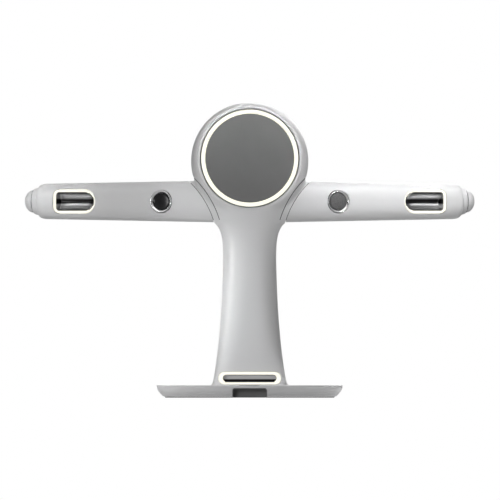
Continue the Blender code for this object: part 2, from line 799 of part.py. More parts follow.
# ---------------------------------------------------------------- right arm, in its own frame


def in_arm(obj, finish):
    obj.matrix_world = arm_frame() @ obj.matrix_world
    return placed(obj, finish)


def make_arm_shell():
    shell = arm_form(0, 0)
    boolean(shell, arm_form(WALL, -20 * MM, count=24))
    boolean(shell, rod("end_hole", (ARM_END - 10 * MM, 0, 0), (ARM_END + 10 * MM, 0, 0), 13.3 * MM, 32))
    shell.matrix_world = arm_frame()
    bpy.context.view_layer.update()
    root_side = box("root_side", (-60 * MM, -200 * MM, 200 * MM), (120 * MM, 200 * MM, 380 * MM))
    boolean(root_side, seam_cylinder(1, SEAM_RADIUS - SEAM_GAP))
    boolean(shell, root_side)
    shell.name = "arm_front_shell_right"
    front, back = halves(shell, ARM_SPLIT, "arm_rear_cover_right", 0)

    pocket = [[Vector((x, y, z)) for x, z in pocket_outline(-GAP)] for y in (-60 * MM, -12 * MM)]
    cutters = [
        loft("pocket_hole", pocket),
        rod("button_hole", (BUTTON_X, -60 * MM, 0), (BUTTON_X, -12 * MM, 0), BEZEL_RADIUS + GAP, 32),
    ]
    for cutter in cutters:
        cutter.matrix_world = arm_frame()
        boolean(front, cutter)
    x, z = ARM_BOSS
    boss = rod("boss", (x, arm_surface(x, z) + 1.3 * MM, z), (x, 14 * MM, z), 3.6 * MM, 12)
    boss.matrix_world = arm_frame()
    boolean(front, boss, "UNION")
    pilot = rod("pilot", (x, 2 * MM, z), (x, 20 * MM, z), 1.8 * MM, 10)
    pilot.matrix_world = arm_frame()
    boolean(front, pilot)
    skin = -arm_surface(x, z)
    for cutter in (
        rod("hole", (x, 0, z), (x, 40 * MM, z), 1.9 * MM, 12),
        rod("sink", (x, skin - 1.3 * MM, z), (x, 40 * MM, z), 3.4 * MM, 12),
    ):
        cutter.matrix_world = arm_frame()
        boolean(back, cutter)
    placed(front, WHITE)
    placed(back, WHITE)
    screw = make_screw("arm_cover_screw_right", (x, 4 * MM, z), (x, skin - 1 * MM, z))
    screw.matrix_world = arm_frame()


def make_spar():
    ends = (-6 * MM, 254 * MM)
    inner = SPAR_RADIUS - 1.5 * MM
    profile = ring_profile(inner, SPAR_RADIUS, *ends)
    in_arm(turned("arm_spar_right", profile, "X", (0, SPAR_Y, 0), 28), ALUMINIUM)


def make_pocket():
    def loop(inset, depth):
        return [Vector((x, depth, z)) for x, z in pocket_outline(inset)]

    skin = [Vector((x, arm_surface(x, z), z)) for x, z in pocket_outline(0)]
    back = POCKET_MOUTH + 0.4 * MM
    frame = [skin, loop(0, back), loop(POCKET_LIP, back), loop(POCKET_LIP, POCKET_MOUTH)]
    in_arm(loft("pocket_frame_right", frame, closed=True), DIFFUSER)

    rim, wall, steps = back + GAP, 1.3 * MM, 5
    radius = POCKET_HALF - POCKET_LIP - 0.2 * MM
    outside, inside = [], []
    for step in range(steps + 1):
        angle = step / steps * math.radians(80)
        inset = POCKET_LIP + 0.2 * MM + radius * (1 - math.cos(angle))
        depth = rim + radius * math.sin(angle)
        inside.append(trough_loop(inset, depth))
        outside.append(trough_loop(inset - wall * math.cos(angle), depth + wall * math.sin(angle)))
    in_arm(loft("pocket_liner_right", outside[::-1] + inside), CHROME)

    coil_front = rim + radius + wall + GAP
    coil = ring_profile(4 * MM, 11 * MM, coil_front, coil_front + 1.5 * MM)
    middle = (POCKET_X[0] + POCKET_X[1]) / 2
    in_arm(turned("pocket_coil_right", coil, "Y", (middle, 0, 0), 28), COPPER)


def trough_loop(inset, depth):
    """A section of the chrome trough: its outer end wall is steeper than its sides and inner end."""
    steep = POCKET_LIP + 0.25 * (inset - POCKET_LIP)
    height = POCKET_HALF - inset
    corner = min(max(POCKET_CORNER - steep, 1 * MM), height)
    outline = rounded_outline(
        (POCKET_X[0] + inset, -height), (POCKET_X[1] - steep, height), (height, corner, corner, height), steps=5
    )
    return [Vector((x, depth, z)) for x, z in outline]


def make_button():
    at = (BUTTON_X, 0, 0)
    bezel = [
        (BEZEL_RADIUS, -14 * MM),
        (BEZEL_RADIUS, -28.9 * MM),
        (BEZEL_RADIUS - 0.8 * MM, -29.7 * MM),
        (BEZEL_RADIUS - 1.8 * MM, -29.4 * MM),
        (CAP_RADIUS + GAP, -26.8 * MM),
        (CAP_RADIUS + GAP, -14 * MM),
    ]
    in_arm(turned("button_bezel_right", bezel, "Y", at, 32), CHROME)
    cap = [
        (0, CAP_FACE - 0.5 * MM),
        (8 * MM, CAP_FACE - 0.3 * MM),
        (CAP_RADIUS - 0.5 * MM, CAP_FACE),
        (CAP_RADIUS, CAP_FACE + 0.5 * MM),
        (CAP_RADIUS, CAP_FACE + 5 * MM),
        (3.5 * MM, CAP_FACE + 5 * MM),
        (3.5 * MM, CAP_FACE + 11 * MM),
        (0, CAP_FACE + 11 * MM),
    ]
    button = turned("button_cap_right", cap, "Y", at, 32)
    in_arm(set_origin(button, at), GLASS)
    low, high = (BUTTON_X - 7 * MM, -13.4 * MM, -7 * MM), (BUTTON_X + 7 * MM, 1 * MM, 7 * MM)
    switch = box("button_switch_right", low, high)
    boolean(switch, rod("well", (BUTTON_X, -20 * MM, 0), (BUTTON_X, -10 * MM, 0), 4 * MM, 20))
    in_arm(switch, DARK_PLASTIC)


def make_knob():
    start, end = COLLAR_X
    collar = [
        (3.6 * MM, start - 7 * MM),
        (13 * MM, start - 7 * MM),
        (13 * MM, start),
        (20.6 * MM, start),
        (20.4 * MM, start + 1 * MM),
        (18.6 * MM, end - 0.5 * MM),
        (18 * MM, end),
        (3.6 * MM, end),
    ]
    in_arm(turned("end_collar_right", collar, "X", sides=32), WHITE)
    knob = [(0, KNOB_X + 2 * MM), (3.4 * MM, KNOB_X + 2 * MM), (3.4 * MM, KNOB_X), (KNOB_RADIUS - 0.5 * MM, KNOB_X)]
    for step in range(6):
        angle = step / 6 * math.pi / 2
        radius = KNOB_RADIUS * math.cos(angle)
        knob.append((radius, KNOB_X + 0.6 * MM + (KNOB_HEIGHT - 0.6 * MM) * math.sin(angle)))
    knob.append((0, KNOB_X + KNOB_HEIGHT))
    dome = turned("end_knob_right", knob, "X", sides=32)
    dimple = rod("dimple", (KNOB_X + 8.6 * MM, 0, 8.5 * MM), (KNOB_X + 22 * MM, 0, 15 * MM), 2.2 * MM, 12)
    boolean(dome, dimple)
    in_arm(dome, WHITE)
    shaft = rod("knob_shaft_right", (273.2 * MM, 0, 0), (KNOB_X + 1.7 * MM, 0, 0), 3 * MM, 20)
    in_arm(shaft, STEEL)
    encoder = box("knob_encoder_right", (262 * MM, -7 * MM, -7 * MM), (274.2 * MM, 7 * MM, 7 * MM))
    boolean(encoder, rod("bore", (272.9 * MM, 0, 0), (280 * MM, 0, 0), 3.4 * MM, 20))
    in_arm(encoder, DARK_PLASTIC)


def mirror_arm():
    """Makes the left arm's pieces from the right arm's."""
    for piece in list(bpy.data.collections["phone_charging_kiosk"].objects):
        if not piece.name.endswith("_right"):
            continue
        left = piece.copy()
        left.data = piece.data.copy()
        left.name = piece.name.replace("_right", "_left")
        mirror_mesh(left)
        place, turn, _ = piece.matrix_world.decompose()
        angle = -turn.to_euler().z
        left.matrix_world = Matrix.Translation((-place.x, place.y, place.z)) @ Matrix.Rotation(angle, 4, "Z")
        bpy.data.collections["phone_charging_kiosk"].objects.link(left)


def shade_round_pieces():
    for piece in bpy.data.collections["phone_charging_kiosk"].objects:
        if piece.type == "MESH":
            piece.data.shade_smooth()
            piece.data.set_sharp_from_angle(angle=math.radians(35))


clear_scene()
bpy.context.scene.collection.children.link(bpy.data.collections.new("phone_charging_kiosk"))
WHITE = material("white_casing", (0.82, 0.82, 0.83), 0.32)
DIFFUSER = material("lit_diffuser", (1.0, 0.99, 0.93), 0.4)
GLASS = material("dark_glass", (0.02, 0.02, 0.022), 0.12)
CHROME = material("chrome", (0.85, 0.85, 0.86), 0.06, 1.0)
RUBBER = material("grey_rubber", (0.09, 0.09, 0.09), 0.8)
DARK_PLASTIC = material("dark_plastic", (0.06, 0.06, 0.065), 0.5)
STEEL = material("steel", (0.55, 0.55, 0.56), 0.35, 1.0)
ALUMINIUM = material("aluminium", (0.72, 0.73, 0.74), 0.4, 1.0)
BOARD_GREEN = material("circuit_board", (0.03, 0.2, 0.09), 0.5)
COPPER = material("copper_winding", (0.72, 0.35, 0.18), 0.35, 1.0)
FERRITE = material("ferrite", (0.12, 0.12, 0.13), 0.7)

make_base()
make_casing()
make_casing_screws()
make_spine()
make_bracket()
make_electronics()
make_head()
make_slot()
make_arm_shell()
make_spar()
make_pocket()
make_button()
make_knob()
mirror_arm()
shade_round_pieces()
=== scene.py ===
"""The looks of the phone charging kiosk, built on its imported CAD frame. Metres, the front faces -Y."""

import json
import math

import bmesh
import bpy
import numpy as np
from mathutils import Matrix, Vector

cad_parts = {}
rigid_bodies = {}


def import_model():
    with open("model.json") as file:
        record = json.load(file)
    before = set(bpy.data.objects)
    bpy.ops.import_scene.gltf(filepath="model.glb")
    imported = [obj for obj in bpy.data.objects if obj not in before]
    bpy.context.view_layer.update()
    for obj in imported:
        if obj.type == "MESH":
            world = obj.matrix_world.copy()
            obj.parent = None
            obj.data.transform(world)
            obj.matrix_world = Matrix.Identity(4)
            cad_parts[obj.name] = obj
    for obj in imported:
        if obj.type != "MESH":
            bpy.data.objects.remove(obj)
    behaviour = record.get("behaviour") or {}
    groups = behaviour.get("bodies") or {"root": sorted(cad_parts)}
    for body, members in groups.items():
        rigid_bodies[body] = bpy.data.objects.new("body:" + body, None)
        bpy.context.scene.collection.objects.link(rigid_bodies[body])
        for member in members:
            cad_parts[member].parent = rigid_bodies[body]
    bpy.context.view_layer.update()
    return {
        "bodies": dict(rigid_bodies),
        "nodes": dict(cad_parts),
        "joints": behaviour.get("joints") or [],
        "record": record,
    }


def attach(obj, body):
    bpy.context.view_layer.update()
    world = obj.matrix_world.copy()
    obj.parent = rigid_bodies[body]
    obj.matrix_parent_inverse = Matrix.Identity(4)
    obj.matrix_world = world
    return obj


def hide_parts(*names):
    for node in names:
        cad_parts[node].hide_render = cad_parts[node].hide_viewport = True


MM = 0.001
WALL = 2.6
HAIR = 0.15  # how far each casing piece stops short of the split between front and rear

# Column, head and arms, in millimetres, as the CAD model has them
COLUMN_Y = -8
ARM_Z = 288
HEAD_Z = 347
LENS_Z = 351.6
COLUMN_STATIONS = [
    (8, 68, 51, 51, 6.5),
    (18.3, 57.5, 46.5, 46.5, 6.5),
    (22, 54.5, 45, 45, 6.5),
    (38, 51.2, 43.5, 43.5, 5.6),
    (75, 46.2, 40, 40, 4.0),
    (130, 41.6, 36.5, 36.5, 3.0),
    (195, 39, 34, 34, 2.5),
    (224, 39.4, 34, 33.5, 2.4),
    (238, 41.4, 35, 33.5, 2.4),
    (249, 45.6, 36.6, 33.5, 2.4),
    (258, 51.6, 38.4, 33.5, 2.4),
    (268, 52, 38.5, 33.5, 2.4),
    (280, 50, 33, 33.5, 2.4),
    (340, 50, 30, 33.5, 2.4),
]
COLUMN_SPLIT = 2
COLUMN_BOTTOM, COLUMN_TOP = 18.3, 335
HEAD = {"radius": 86, "front": 44, "belly": 6, "back": 38, "face": 74}
RING_OUTER, RING_INNER, RING_SHADOW = 72.8, 65.2, 1.5
ARM_SWEEP = math.radians(18)
ARM_ROOT_X = 40
ARM_HEIGHT, ARM_TAPER, ARM_POWER = 30.8, 0.0179, 2.5
ARM_SHOULDER, ARM_END, ARM_END_RADIUS = 269, 281.2, 21
ARM_SPLIT = 6
ROOT_REACH = 20  # how far an arm's root runs from its start towards the column's middle
NECK_BLEND, ROOT_BLEND = 16, 5
BODY_LOW, BODY_HALF = 12, 92
GRID_LOW, GRID_HIGH, GRID_STEP = (-96, -52, 10), (96, 56, 440), 2.0
SEAM_CENTRE, SEAM_RADIUS, SEAM_GAP = (184.1, 217.9), 138, 0.8
GROOVE_RADIUS, GROOVE_DEPTH, GROOVE_BOTTOM = (145.7, 146.7), 1.0, 261
GROOVE_MARGIN, GROOVE_SHALLOW = 0.1, 0.15  # how near the groove, and how deep, its faces painted dark as shade lie
ROOT_INSIDE, ROOT_EDGE = -0.06, 110  # an arm's faces this far under its skin are painted dark, as shade in the seam, out to this x
TONGUE = (6, 8)  # how far the arm's tongue reaches past the seam, and how far back inside the arm
POCKET_X, POCKET_HALF, POCKET_CORNER = (188.2, 253.8), 17.8, 9
POCKET_LIP, POCKET_MOUTH = 4.2, -19.3
CUP_STEP, CUP_WALL, CUP_STEPS = 0.7, 1.3, 16
BUTTON_X, BEZEL_RADIUS, CAP_RADIUS, CAP_FACE = 86, 17, 12, -27.6
SLOT_Z, SLOT_FRAME, SLOT_LIP, SLOT_MOUTH, THROAT_END = 28.6, (46, 9.2), 4.3, -40.2, -33.6
SLOT_END = 1.6  # how many times wider the slot's lit frame is at its ends than above and below
FLAP_HALF, FLAP_PIN, FLAP_BOTTOM = 40.6, (COLUMN_Y - 29.5, 37.2), 23.6
BASE_HALF, BASE_TOP, BASE_SPLAY, BASE_CORNER = (136.5, 102), 18, 12, 42
NOTCH_HALF, NOTCH_TOP, NOTCH_BACK = 24, 12.5, -80
COLLAR_X, KNOB_X, KNOB_RADIUS, KNOB_HEIGHT = (281.6, 289.3), 290.5, 16.4, 13.3
COLLAR_HOLE = 13.3
BOSSES = [(25, 62), (23.5, 205)]
SCREW_HOLE, SCREW_HEAD, SCREW_SINK = 1.9, 3.4, 1.3
VENTS, VENT_Z, VENT_PITCH, VENT_HALF, VENT_CORNER = 6, 102, 6.7, (17, 1.4), 1.35
INLET_Z, INLET_RADIUS = 34, 6.3
ARM_BOSS = (150, 15.5)
SHARP_ANGLE = math.radians(32)

CHROME = (0.86, 0.86, 0.865)
LIT_COLOUR, LIT_STRENGTH = (1.0, 0.975, 0.84, 1), 0.92
LOOKS = {"notch_liner": "grey_plastic"}  # nodes whose look differs from their slot's
SKY_DARK, SKY_BRIGHT = (0.3, 0.1), (0.75, 0.8)  # height of the direction, brightness
SKY_LIGHT, SKY_SHINE = 0.38, 1.5  # the sky's strength for plain light and for reflections
VIEW_WIDTH, VIEW_POINT = 0.734, (0.0004, -2, 0.2167)
FLOOR_LEVEL = -0.0004


# ---------------------------------------------------------------- mesh helpers


def link(name, mesh):
    made = bpy.data.objects.new(name, mesh)
    bpy.context.scene.collection.objects.link(made)
    return made


def from_bmesh(name, shape):
    bmesh.ops.recalc_face_normals(shape, faces=shape.faces)
    mesh = bpy.data.meshes.new(name)
    shape.to_mesh(mesh)
    shape.free()
    return link(name, mesh)


def cut(obj, cutter, operation="DIFFERENCE"):
    """Cuts a mesh with another, or joins the two, and removes the other."""
    step = obj.modifiers.new("cut", "BOOLEAN")
    step.operation = operation
    step.solver = "MANIFOLD"
    step.object = cutter
    bpy.context.view_layer.update()
    graph = bpy.context.evaluated_depsgraph_get()
    mesh = bpy.data.meshes.new_from_object(obj.evaluated_get(graph))
    obj.modifiers.clear()
    obj.data = mesh
    bpy.data.objects.remove(cutter)
    return obj


def copy_of(obj):
    return link(obj.name, obj.data.copy())


def box(low, high):
    shape = bmesh.new()
    size = [(h - l) * MM for l, h in zip(low, high)]
    middle = [(h + l) / 2 * MM for l, h in zip(low, high)]
    bmesh.ops.create_cube(shape, size=1, matrix=Matrix.Translation(middle) @ Matrix.Diagonal((*size, 1)))
    return from_bmesh("box", shape)


def rod(start, end, radius, sides=64):
    start, end = Vector(start) * MM, Vector(end) * MM
    along = end - start
    placing = Matrix.Translation((start + end) / 2) @ along.to_track_quat("Z", "Y").to_matrix().to_4x4()
    shape = bmesh.new()
    bmesh.ops.create_cone(
        shape,
        cap_ends=True,
        segments=sides,
        radius1=radius * MM,
        radius2=radius * MM,
        depth=along.length,
        matrix=placing,
    )
    return from_bmesh("rod", shape)


def loft(name, loops, closed=False):
    """A skin over loops of points given in millimetres."""
    shape = bmesh.new()
    rows = [[shape.verts.new(Vector(point) * MM) for point in loop] for loop in loops]
    pairs = list(zip(rows, rows[1:])) + ([(rows[-1], rows[0])] if closed else [])
    for lower, upper in pairs:
        for i in range(len(lower)):
            j = (i + 1) % len(lower)
            shape.faces.new((lower[i], lower[j], upper[j], upper[i]))
    if not closed:
        shape.faces.new(rows[0])
        shape.faces.new(rows[-1])
    return from_bmesh(name, shape)


def turned(name, profile, axis, centre=(0, 0, 0), sides=128):
    """A profile of (radius, distance along) swept round the X or Y axis. It may start and end on the axis."""
    shape = bmesh.new()
    rings = []
    for radius, along in profile:
        if radius < 1e-6:
            rings.append([shape.verts.new((0, 0, along * MM))])
            continue
        ring = []
        for side in range(sides):
            angle = 2 * math.pi * side / sides
            place = (radius * math.cos(angle) * MM, radius * math.sin(angle) * MM, along * MM)
            ring.append(shape.verts.new(place))
        rings.append(ring)
    pairs = list(zip(rings, rings[1:]))
    if len(rings[0]) > 1 or len(rings[-1]) > 1:
        pairs.append((rings[-1], rings[0]))
    for lower, upper in pairs:
        for i in range(sides):
            j = (i + 1) % sides
            near, far = len(lower), len(upper)
            corners = (lower[i % near], lower[j % near], upper[j % far], upper[i % far])
            corners = list(dict.fromkeys(corners))
            if len(corners) > 2:
                shape.faces.new(corners)
    turn = {"X": Matrix.Rotation(math.pi / 2, 4, "Y"), "Y": Matrix.Rotation(-math.pi / 2, 4, "X")}
    placing = Matrix.Translation(Vector(centre) * MM) @ turn[axis]
    bmesh.ops.transform(shape, matrix=placing, verts=shape.verts)
    return from_bmesh(name, shape)


def soft_profile(points, radius, steps=3):
    """Rounds the corners of a closed profile of (radius, along); points on the axis stay as they are."""
    made = []
    count = len(points)
    for i, point in enumerate(points):
        here = Vector(point)
        if point[0] < 1e-6:
            made.append(point)
            continue
        before, after = Vector(points[i - 1]) - here, Vector(points[(i + 1) % count]) - here
        reach = min(radius, before.length * 0.45, after.length * 0.45)
        start, end = here + before.normalized() * reach, here + after.normalized() * reach
        for step in range(steps + 1):
            t = step / steps
            made.append(tuple((1 - t) ** 2 * start + 2 * t * (1 - t) * here + t**2 * end))
    return made


def rounded_outline(low, high, radii, steps=14):
    (u0, v0), (u1, v1) = low, high
    corners = [
        (u0 + radii[0], v0 + radii[0], radii[0], math.pi),
        (u1 - radii[1], v0 + radii[1], radii[1], 1.5 * math.pi),
        (u1 - radii[2], v1 - radii[2], radii[2], 0.0),
        (u0 + radii[3], v1 - radii[3], radii[3], 0.5 * math.pi),
    ]
    points = []
    for u, v, radius, start in corners:
        for step in range(steps + 1):
            angle = start + step / steps * math.pi / 2
            points.append((u + radius * math.cos(angle), v + radius * math.sin(angle)))
    return points


def arm_frame(side=1):
    turn = Matrix.Rotation(side * ARM_SWEEP, 4, "Z")
    return Matrix.Translation((side * ARM_ROOT_X * MM, COLUMN_Y * MM, ARM_Z * MM)) @ turn


# ---------------------------------------------------------------- smooth body field


def station_table():
    """The column's measures at every half millimetre, on a smooth curve through the stations."""
    table = np.array(COLUMN_STATIONS, float)
    heights = np.arange(table[0, 0], table[-1, 0], 0.5)
    z = table[:, 0]
    columns = []
    for values in table.T[1:]:
        slopes = np.zeros(len(z))
        slopes[1:-1] = (values[2:] - values[:-2]) / (z[2:] - z[:-2])
        slopes[0] = (values[1] - values[0]) / (z[1] - z[0])
        k = np.clip(np.searchsorted(z, heights, side="right") - 1, 0, len(z) - 2)
        span = z[k + 1] - z[k]
        t = (heights - z[k]) / span
        columns.append(
            (2 * t**3 - 3 * t**2 + 1) * values[k]
            + (t**3 - 2 * t**2 + t) * span * slopes[k]
            + (3 * t**2 - 2 * t**3) * values[k + 1]
            + (t**3 - t**2) * span * slopes[k + 1]
        )
    return heights, columns


STATION_Z, STATION_VALUES = station_table()


def column_at(z):
    return [np.interp(z, STATION_Z, values) for values in STATION_VALUES]


def column_skin(x, z, side):
    half, front, back, power = column_at(z)
    depth = (1 - (abs(x) / half) ** power) ** (1 / power)
    return back * depth if side > 0 else -front * depth


def column_field(p):
    half, front, back, power = column_at(p[:, 2])
    reach = np.where(p[:, 1] < 0, front, back)
    inside = (np.abs(p[:, 0]) / half) ** power + (np.abs(p[:, 1]) / reach) ** power
    return (inside + 1e-9) ** (1 / power) - 1


def head_front_field(p):
    length = HEAD["front"] - HEAD["belly"]
    forward = np.clip(-(p[:, 1] + HEAD["belly"]) / length, 0, None)
    share = 1 - np.clip(forward, 0, 1) ** 2
    middle = LENS_Z + (HEAD_Z - LENS_Z) * share
    radius = np.hypot(p[:, 0], p[:, 2] - middle)
    shoulder = HEAD["radius"] - HEAD["face"]
    return np.hypot(np.clip(radius - HEAD["face"], 0, None) / shoulder, forward) - 1


def head_back_field(p):
    radius = np.hypot(p[:, 0], p[:, 2] - HEAD_Z)
    return np.hypot(radius / HEAD["radius"], (p[:, 1] + HEAD["belly"]) / (HEAD["back"] + HEAD["belly"])) - 1


def arm_field(p):
    """Both arm roots: the arms' frames mirror each other, so the field is read at |x|."""
    x, y = np.abs(p[:, 0]) - ARM_ROOT_X, p[:, 1]
    along = x * math.cos(ARM_SWEEP) + y * math.sin(ARM_SWEEP)
    across = -x * math.sin(ARM_SWEEP) + y * math.cos(ARM_SWEEP)
    half = ARM_HEIGHT - ARM_TAPER * along
    up = np.abs(p[:, 2] - ARM_Z) / half
    out = np.abs(across) / (half - 1)
    return (up**ARM_POWER + out**ARM_POWER + 1e-9) ** (1 / ARM_POWER) - 1


def gradient(field, p, reach):
    """A field's slope along each axis, from its values at this reach to either side."""
    slope = np.zeros_like(p)
    for axis in range(3):
        step = np.zeros(3)
        step[axis] = reach
        slope[:, axis] = (field(p + step) - field(p - step)) / (2 * reach)
    return slope


def distance(field, p):
    """A field turned into a distance near its surface."""
    return field(p) / np.sqrt((gradient(field, p, 0.05) ** 2).sum(1) + 1e-8)


def blend(a, b, width):
    """Two bodies joined into one, with a fillet of this width where they meet."""
    near = np.clip(width - np.abs(a - b), 0, None) / width
    return np.minimum(a, b) - near**2 * width / 4


def body_distance(p):
    """Column, head and arm roots as one body."""
    column = np.maximum(distance(column_field, p), p[:, 2] - COLUMN_TOP)
    behind = p[:, 1] > -HEAD["belly"]
    head = np.where(behind, distance(head_back_field, p), distance(head_front_field, p))
    trunk = blend(column, head, NECK_BLEND)
    arms = np.maximum(distance(arm_field, p), -ROOT_REACH - (np.abs(p[:, 0]) - ARM_ROOT_X))
    whole = blend(trunk, arms, ROOT_BLEND)
    return np.maximum(whole, np.maximum(BODY_LOW - p[:, 2], np.abs(p[:, 0]) - BODY_HALF))


def body_surface(name, level):
    """A quad mesh of the body's surface, or of one at another level, its points moved onto the surface."""
    step = GRID_STEP
    axes = [np.arange(low, high + step, step) for low, high in zip(GRID_LOW, GRID_HIGH)]
    counts = [len(axis) for axis in axes]
    grid = np.stack(np.meshgrid(*axes, indexing="ij"), -1).reshape(-1, 3)
    inside = (body_distance(grid) < level).reshape(counts)
    cells = [count - 1 for count in counts]
    corners = np.zeros(cells, int)
    for i in (0, 1):
        for j in (0, 1):
            for k in (0, 1):
                corners += inside[i : i + cells[0], j : j + cells[1], k : k + cells[2]]
    mixed = (corners > 0) & (corners < 8)
    index = np.full(cells, -1)
    index[mixed] = np.arange(mixed.sum())
    places = np.argwhere(mixed)
    points = np.array(GRID_LOW) + (places + 0.5) * step
    quads = []
    for axis in range(3):
        one, two = (axis + 1) % 3, (axis + 2) % 3
        first = np.take(inside, range(counts[axis] - 1), axis=axis)
        second = np.take(inside, range(1, counts[axis]), axis=axis)
        edges = np.argwhere(first != second)
        keep = (edges[:, one] > 0) & (edges[:, two] > 0)
        keep &= (edges[:, one] < cells[one]) & (edges[:, two] < cells[two])
        edges = edges[keep]
        around = []
        for a, b in ((-1, -1), (0, -1), (0, 0), (-1, 0)):
            cell = edges.copy()
            cell[:, one] += a
            cell[:, two] += b
            around.append(index[cell[:, 0], cell[:, 1], cell[:, 2]])
        faces = np.stack(around, -1)
        outward = first[edges[:, 0], edges[:, 1], edges[:, 2]]
        faces[~outward] = faces[~outward][:, ::-1]
        quads.append(faces)
    quads = np.concatenate(quads)
    for _ in range(4):
        total = np.zeros_like(points)
        count = np.zeros(len(points))
        for side in range(4):
            np.add.at(total, quads[:, side], points[quads[:, (side + 1) % 4]])
            np.add.at(count, quads[:, side], 1)
        points = total / count[:, None]
        points = pull_onto(points, level)
    mesh = bpy.data.meshes.new(name)
    mesh.from_pydata((points * MM).tolist(), [], quads.tolist())
    return link(name, mesh)


def pull_onto(points, level):
    """Moves points along the body's slope to where its distance takes a level, a grid step at most."""
    for _ in range(3):
        value = body_distance(points) - level
        slope = gradient(body_distance, points, 0.1)
        size = (slope**2).sum(1, keepdims=True) + 1e-6
        shift = -value[:, None] * slope / size
        length = np.linalg.norm(shift, axis=1, keepdims=True)
        points = points + shift * np.minimum(1, GRID_STEP / (length + 1e-9))
    return points


# ---------------------------------------------------------------- casing


def make_central_casing():
    to_column = Matrix.Translation((0, COLUMN_Y * MM, 0))
    shell = body_surface("column_front", 0)
    cut(shell, body_surface("cavity", -WALL))
    shell.data.transform(to_column)
    cut(shell, box((-200, -200, -20), (200, 200, COLUMN_BOTTOM)))
    under_skin = body_surface("under_skin", -GROOVE_DEPTH)
    under_skin.data.transform(to_column)
    for side in (1, -1):
        x, z = side * SEAM_CENTRE[0], SEAM_CENTRE[1]
        cut(shell, rod((x, -150, z), (x, 150, z), SEAM_RADIUS, sides=360))
        groove = rod((x, -80, z), (x, COLUMN_Y, z), GROOVE_RADIUS[1], sides=360)
        cut(groove, rod((x, -90, z), (x, 90, z), GROOVE_RADIUS[0], sides=360))
        cut(groove, copy_of(under_skin))
        cut(groove, box((-300, -120, 0), (300, 120, GROOVE_BOTTOM)))
        cut(shell, groove)
    bpy.data.objects.remove(under_skin)
    rear = copy_of(shell)
    rear.name = "column_rear"
    split = COLUMN_Y + COLUMN_SPLIT
    cut(shell, box((-300, split - HAIR, -10), (300, 300, 500)))
    cut(rear, box((-300, -300, -10), (300, split + HAIR, 500)))

    cut(shell, rod((0, -90, LENS_Z), (0, COLUMN_Y - 30, LENS_Z), RING_OUTER + 0.25, sides=192))
    slot = [[(x, y, SLOT_Z + z) for x, z in slot_outline(-0.2)] for y in (-80, COLUMN_Y - 32)]
    cut(shell, loft("slot_hole", slot))
    for half, z in BOSSES:
        for x in (-half, half):
            skin = COLUMN_Y + column_skin(x, z, 1)
            cut(rear, rod((x, COLUMN_Y, z), (x, skin + 12, z), SCREW_HOLE))
            cut(rear, rod((x, skin - SCREW_SINK, z), (x, skin + 12, z), SCREW_HEAD))
    half, height = VENT_HALF
    for row in range(VENTS):
        z = VENT_Z + VENT_PITCH * row
        vent = rounded_outline((-half, z - height), (half, z + height), (VENT_CORNER,) * 4, steps=4)
        cut(rear, loft("vent", [[(u, y, v) for u, v in vent] for y in (COLUMN_Y + 25, 60)]))
    cut(rear, rod((0, COLUMN_Y + 30, INLET_Z), (0, 60, INLET_Z), INLET_RADIUS))
    for piece, node in ((shell, "column_front_shell"), (rear, "column_rear_cover")):
        finish(piece, "kiosk", "white_casing", node)


def arm_half(x):
    return ARM_HEIGHT - ARM_TAPER * x


def arm_surface(x, z):
    height = arm_half(x)
    share = min(1.0, abs(z) / height)
    return -(height - 1) * (1 - share**ARM_POWER) ** (1 / ARM_POWER)


def arm_loop(x, half, power, inset):
    """An arm's section, a little less deep than high, and round where the power is 2."""
    count = 128
    flat = (power - 2) / (ARM_POWER - 2)
    points = []
    for step in range(count):
        angle = 2 * math.pi * step / count
        z, y = math.cos(angle), math.sin(angle)
        height, depth = half - inset, half - flat - inset
        radius = ((abs(z) / height) ** power + (abs(y) / depth) ** power) ** (-1 / power)
        points.append((x, radius * y, radius * z))
    return points


def arm_tube(inset, inner):
    """An arm's body in its own frame, drawn in by an inset, from an inner end to the rounded outer one."""
    rows, ends = 40, 12
    loops = []
    for row in range(rows + 1):
        x = inner + (ARM_SHOULDER - inner) * row / rows
        loops.append(arm_loop(x, arm_half(x), ARM_POWER, inset))
    for step in range(1, ends + 1):
        angle = step / ends * math.pi / 2
        share = 1 - math.cos(angle)
        x = ARM_SHOULDER + (ARM_END - ARM_SHOULDER - inset) * math.sin(angle)
        half = arm_half(ARM_SHOULDER) + (ARM_END_RADIUS - arm_half(ARM_SHOULDER)) * share
        loops.append(arm_loop(x, half, ARM_POWER + (2 - ARM_POWER) * share, inset))
    return loft("arm_tube", loops)


def make_arm_casing():
    shell = arm_tube(0, 0)
    cut(shell, arm_tube(WALL, -20))
    cut(shell, rod((ARM_END - 10, 0, 0), (ARM_END + 10, 0, 0), COLLAR_HOLE, 96))
    shell.data.transform(arm_frame())
    cut(shell, beyond_seam(SEAM_RADIUS - SEAM_GAP))
    add_mesh(shell, arm_tongue())
    shell.data.transform(arm_frame().inverted())
    rear = copy_of(shell)
    cut(shell, box((-100, ARM_SPLIT - HAIR, -100), (400, 100, 100)))
    cut(rear, box((-100, -100, -100), (400, ARM_SPLIT + HAIR, 100)))
    pocket = [[(x, y, z) for x, z in pocket_outline(-0.2)] for y in (-60, -12)]
    cut(shell, loft("pocket_hole", pocket))
    cut(shell, rod((BUTTON_X, -60, 0), (BUTTON_X, -12, 0), BEZEL_RADIUS + 0.2, 128))
    x, z = ARM_BOSS
    skin = -arm_surface(x, z)
    cut(rear, rod((x, 0, z), (x, 40, z), SCREW_HOLE))
    cut(rear, rod((x, skin - SCREW_SINK, z), (x, 40, z), SCREW_HEAD))
    both_arms(shell, "arm_front", "white_casing", "kiosk", "arm_front_shell")
    both_arms(rear, "arm_rear", "white_casing", "kiosk", "arm_rear_cover")


